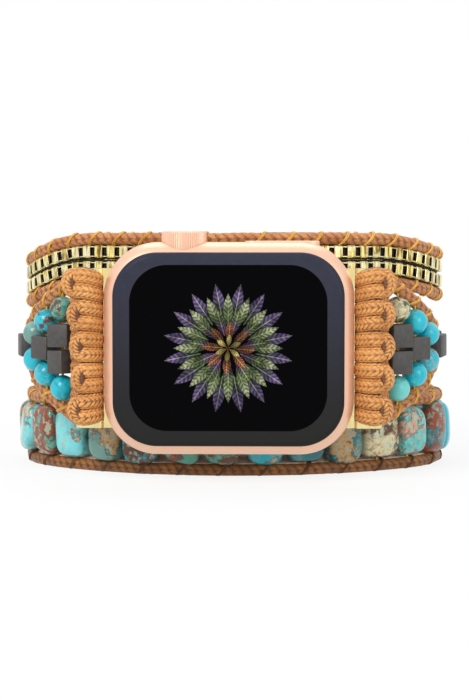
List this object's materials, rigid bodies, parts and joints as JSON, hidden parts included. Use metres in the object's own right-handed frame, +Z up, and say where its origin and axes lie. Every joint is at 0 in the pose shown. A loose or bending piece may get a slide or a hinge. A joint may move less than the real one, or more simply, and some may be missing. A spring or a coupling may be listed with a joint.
{
  "type": "bead watch band",
  "caption": "Three-row bead and cord watch band on a rounded square watch head, with gold links, stone nuggets and a studded strap.",
  "frame": {"origin": "centre of the bounding box's underside, on the surface that the band stands on", "axes": "+Z up along the wrist's axis, +X to the right along the watch head's longer side, +Y from the display towards the closure"},
  "size_m": [0.0762, 0.0642, 0.0406],
  "materials": {
    "antique_brass": "antique brass",
    "battery_foil": "foil wrap",
    "black_stone": "matte black",
    "board": "solder mask",
    "core_wire": "dark thread core",
    "cover_glass": "polished dark glass",
    "dark_ceramic": "polished",
    "dark_cord": "twisted waxed cord, darker",
    "display": "black display",
    "knot_cord": "braided waxed cord",
    "leather": "smooth brown leather",
    "liner": "pale suede",
    "pale_gold": "polished pale gold plating",
    "rose_case": "satin rose-gold anodised metal",
    "seal": "matte",
    "steel": "satin",
    "thread": "golden thread",
    "turquoise": "polished turquoise with matrix",
    "waxed_cord": "twisted waxed cord"
  },
  "bodies": {
    "head": {"head_case": "rose_case", "display_glass": "cover_glass", "display_panel": "display", "back_cover": "dark_ceramic", "back_crystal": "dark_ceramic", "battery": "battery_foil", "main_board": "board", "haptic_motor": "steel", "speaker": "steel", "crown_seal": "seal"},
    "crown_stem": {"crown_stem": "steel"},
    "crown_knob": {"crown_knob": "rose_case"},
    "side_button": {"side_button": "rose_case"},
    "left_latch": {"left_latch_pin": "steel"},
    "right_latch": {"right_latch_pin": "steel"},
    "closing_strap": {"closing_strap": "leather", "strap_eyelets": "antique_brass"},
    "band": {"gold_cord_bottom": "waxed_cord", "gold_cord_top": "waxed_cord", "gold_core_lower": "core_wire", "gold_core_upper": "core_wire", "gold_links_lower": "pale_gold", "gold_links_upper": "pale_gold", "gold_threads": "thread", "hinge_pin": "antique_brass", "hinge_plate": "antique_brass", "left_adapter": "pale_gold", "left_adapter_bar": "steel", "left_bead_cord_lower": "waxed_cord", "left_bead_cord_upper": "waxed_cord", "left_bead_threads": "thread", "left_cube_beads": "black_stone", "left_end_tab": "leather", "left_knot_bumps": "knot_cord", "left_knot_legs": "knot_cord", "left_latch_spring": "steel", "left_round_beads": "turquoise", "lower_stud": "antique_brass", "nugget_cord_bottom": "dark_cord", "nugget_cord_top": "waxed_cord", "nugget_liner": "liner", "nugget_threads": "thread", "nuggets": "turquoise", "right_adapter": "pale_gold", "right_adapter_bar": "steel", "right_bead_cord_lower": "waxed_cord", "right_bead_cord_upper": "waxed_cord", "right_bead_threads": "thread", "right_cube_beads": "black_stone", "right_end_tab": "leather", "right_knot_bumps": "knot_cord", "right_knot_legs": "knot_cord", "right_latch_spring": "steel", "right_round_beads": "turquoise", "upper_stud": "antique_brass"}
  },
  "joints": [
    {"name": "head_slide", "type": "slide", "parent": "band", "child": "head", "axis": [0, 0, 1], "range_m": [0, 0.03]},
    {"name": "crown_press", "type": "slide", "parent": "head", "child": "crown_stem", "axis": [0, 0, -1], "range_m": [0, 0.0004], "stiffness_N_per_m": 400, "springref_m": -0.0005},
    {"name": "crown_turn", "type": "hinge", "parent": "crown_stem", "child": "crown_knob", "pos_m": [-0.0072, -0.02672, 0.03884], "axis": [0, 0, 1], "continuous": true},
    {"name": "side_button_press", "type": "slide", "parent": "head", "child": "side_button", "axis": [0, 0, -1], "range_m": [0, 0.0003], "stiffness_N_per_m": 400, "springref_m": -0.0005},
    {"name": "left_latch_press", "type": "slide", "parent": "band", "child": "left_latch", "axis": [-1, 0, 0], "range_m": [0, 0.0005], "stiffness_N_per_m": 200, "springref_m": -0.0005, "deforming": ["left_latch_spring"]},
    {"name": "right_latch_press", "type": "slide", "parent": "band", "child": "right_latch", "axis": [1, 0, 0], "range_m": [0, 0.0005], "stiffness_N_per_m": 200, "springref_m": -0.0005, "deforming": ["right_latch_spring"]},
    {"name": "strap_hinge", "type": "hinge", "parent": "band", "child": "closing_strap", "pos_m": [-0.008, 0.02917, 0.0203], "axis": [0, 0, 1], "range_deg": [0, 150]}
  ]
}
